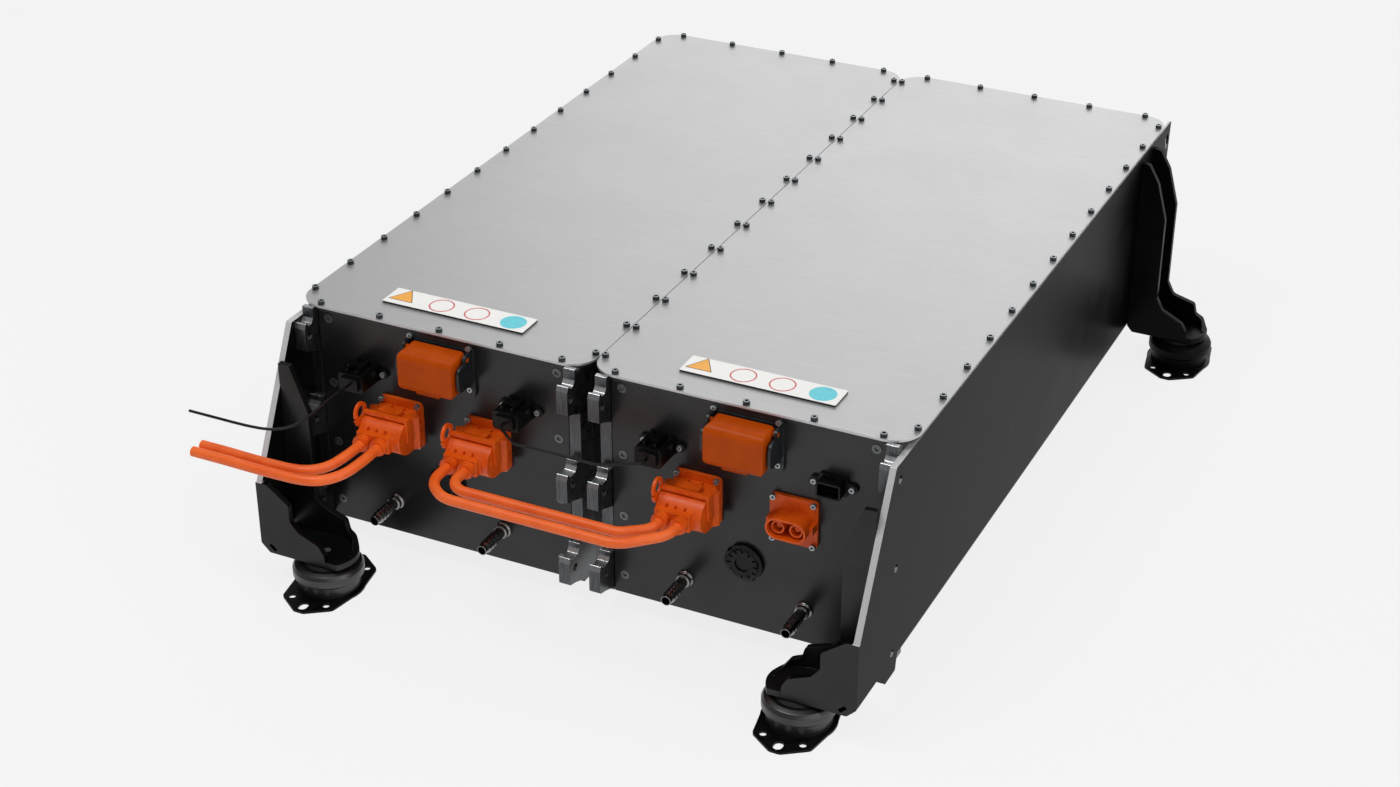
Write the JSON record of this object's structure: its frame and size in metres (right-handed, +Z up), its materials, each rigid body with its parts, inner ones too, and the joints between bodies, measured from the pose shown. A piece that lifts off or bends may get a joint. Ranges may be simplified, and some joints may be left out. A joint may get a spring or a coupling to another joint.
{
  "type": "marine battery pack",
  "caption": "Twin liquid-cooled battery modules side by side in welded side frames on rubber mounts, with orange power plugs, service disconnects and coolant ports at the front.",
  "frame": {"origin": "on the floor under the middle of the whole outline, leads left out", "axes": "+Z up, front panels with the connectors face -Y, +X to the right as seen from the front"},
  "size_m": [1.048, 1.2432, 0.3435],
  "materials": {
    "lid": "satin sheet, light grey",
    "case": "satin black-grey coating",
    "frame": "satin black coating",
    "post": "brushed grey with light cut edges",
    "steel": "zinc grey",
    "orange_plastic": "moulded orange",
    "orange_cable": "smooth orange jacket",
    "black_plastic": "moulded black",
    "black_cable": "smooth black jacket",
    "rubber": "matt black elastomer",
    "label": "white plate",
    "foot": "satin black",
    "bell": "dark grey pressed metal",
    "nipple": "turned steel",
    "cell": "blue-grey sleeves",
    "plate": "plain extrusion",
    "tray": "dark moulding",
    "copper": "copper bar",
    "board": "green board"
  },
  "bodies": {
    "pack": {"housing_left": "case", "housing_right": "case", "lid_left": "lid", "lid_right": "lid", "lid_gaskets": "rubber", "front_panel_left": "case", "front_panel_right": "case", "rear_panels": "case", "corner_posts_left": "post", "corner_posts_right": "post", "cell_modules_left": "cell", "cell_modules_right": "cell", "cooling_plates": "plate", "junction_boxes": "tray", "busbars": "copper", "management_boards": "board", "lid_screws": "steel", "panel_screws": "steel", "connector_screws": "nipple", "disconnect_base_left": "black_plastic", "disconnect_base_right": "black_plastic", "service_links": "copper", "power_headers_left": "orange_plastic", "power_headers_right": "orange_plastic", "power_plug_lead": "orange_plastic", "power_plug_left": "orange_plastic", "power_plug_right": "orange_plastic", "signal_sockets": "black_plastic", "signal_plugs": "black_plastic", "vents": "black_plastic", "coolant_ports": "nipple", "label_plates": "label", "side_plate_left": "frame", "side_plate_right": "frame", "front_gusset_left": "frame", "front_gusset_right": "frame", "rear_bracket_left": "frame", "rear_bracket_right": "frame", "mount_foot_fl": "foot", "mount_foot_fr": "foot", "mount_foot_rl": "foot", "mount_foot_rr": "foot", "mount_bell_fl": "bell", "mount_bell_fr": "bell", "mount_bell_rl": "bell", "mount_bell_rr": "bell", "mount_rubbers": "rubber", "mount_studs": "steel", "power_lead_1": "orange_cable", "power_lead_2": "orange_cable", "signal_lead": "black_cable", "power_jumper_1": "orange_cable", "power_jumper_2": "orange_cable", "signal_jumper": "black_cable"},
    "disconnect_cover_left": {"disconnect_cover_left": "orange_plastic"},
    "disconnect_cover_right": {"disconnect_cover_right": "orange_plastic"},
    "plug_lever_lead": {"plug_lever_lead": "orange_plastic"},
    "plug_lever_left": {"plug_lever_left": "orange_plastic"},
    "plug_lever_right": {"plug_lever_right": "orange_plastic"}
  },
  "joints": [
    {"name": "disconnect_hinge_left", "type": "hinge", "parent": "pack", "child": "disconnect_cover_left", "pos_m": [-0.202, -0.457, 0.317], "axis": [-1, 0, 0], "range_deg": [0, 80]},
    {"name": "disconnect_hinge_right", "type": "hinge", "parent": "pack", "child": "disconnect_cover_right", "pos_m": [0.207, -0.457, 0.317], "axis": [-1, 0, 0], "range_deg": [0, 80]},
    {"name": "plug_lever_lead_hinge", "type": "hinge", "parent": "pack", "child": "plug_lever_lead", "pos_m": [-0.2648, -0.4775, 0.2], "axis": [1, 0, 0], "range_deg": [0, 45]},
    {"name": "plug_lever_left_hinge", "type": "hinge", "parent": "pack", "child": "plug_lever_left", "pos_m": [-0.1408, -0.4775, 0.2], "axis": [1, 0, 0], "range_deg": [0, 45]},
    {"name": "plug_lever_right_hinge", "type": "hinge", "parent": "pack", "child": "plug_lever_right", "pos_m": [0.1442, -0.4775, 0.2], "axis": [1, 0, 0], "range_deg": [0, 45]}
  ]
}
